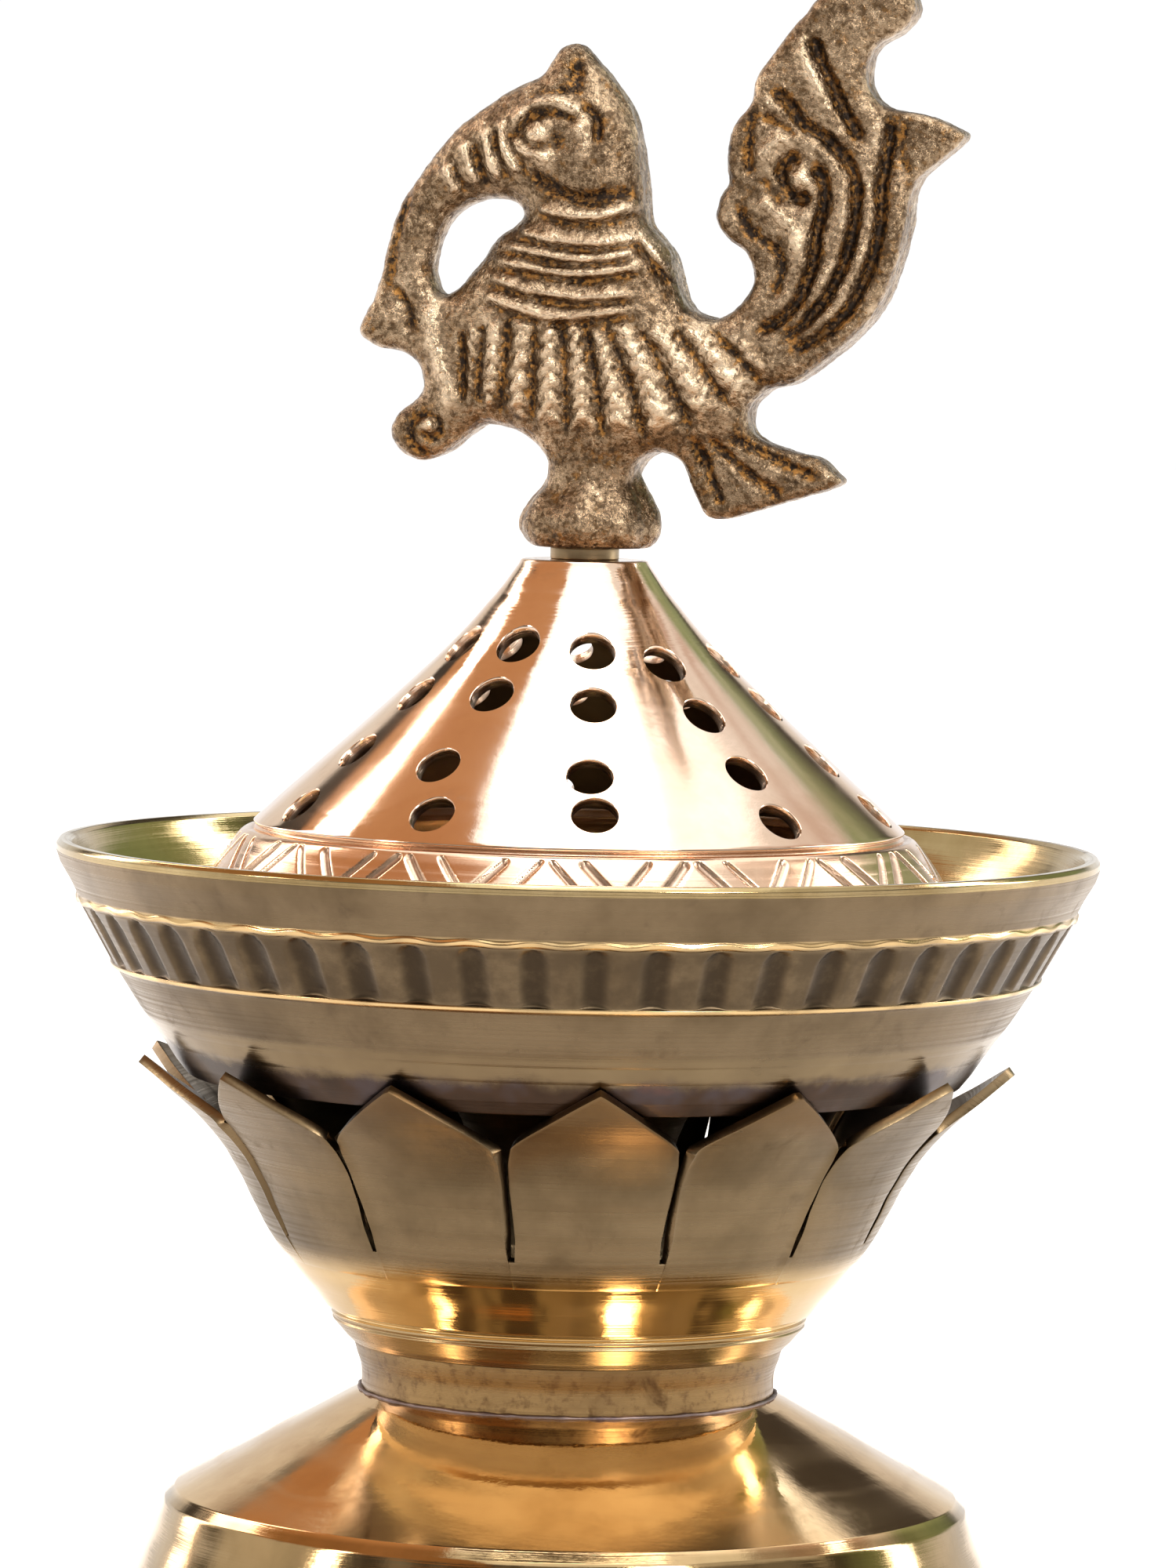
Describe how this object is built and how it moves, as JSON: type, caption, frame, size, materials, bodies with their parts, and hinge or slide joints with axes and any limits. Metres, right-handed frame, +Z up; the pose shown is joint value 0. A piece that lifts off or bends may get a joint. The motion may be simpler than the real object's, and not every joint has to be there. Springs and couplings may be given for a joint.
{
  "type": "table censer",
  "caption": "Standing table censer: fluted fire bowl in a lotus petal cup on a turned foot, with a pierced conical lid lifted by a cast bird finial.",
  "frame": {"origin": "centre of the foot ring's bottom face, on the object's axis", "axes": "+Z up along the turned axis, X along the bird's body with its beak towards -X, Y across the bird"},
  "size_m": [0.1202, 0.1202, 0.2128],
  "materials": {
    "polished_brass": "polished",
    "satin_brass": "satin",
    "copper_brass": "polished, finely turned",
    "antique_brass": "cast, antiqued",
    "braze": "heat tinted",
    "fastener_brass": "machined"
  },
  "bodies": {
    "stand": {"base_shell": "polished_brass", "neck_collar": "satin_brass", "braze_seam": "braze", "lotus_cup": "satin_brass", "bowl_pedestal": "satin_brass", "bowl": "satin_brass", "tie_bolt": "fastener_brass", "base_washer": "fastener_brass", "base_nut": "fastener_brass"},
    "lid": {"lid_cone": "copper_brass", "lid_ring": "copper_brass", "lid_washer": "fastener_brass", "lid_nut": "fastener_brass", "finial_stud": "fastener_brass", "finial_spacer": "copper_brass", "bird_finial": "antique_brass"}
  },
  "joints": [
    {"name": "lid_lift", "type": "slide", "parent": "stand", "child": "lid", "axis": [0, 0, 1], "range_m": [0, 0.1]}
  ]
}
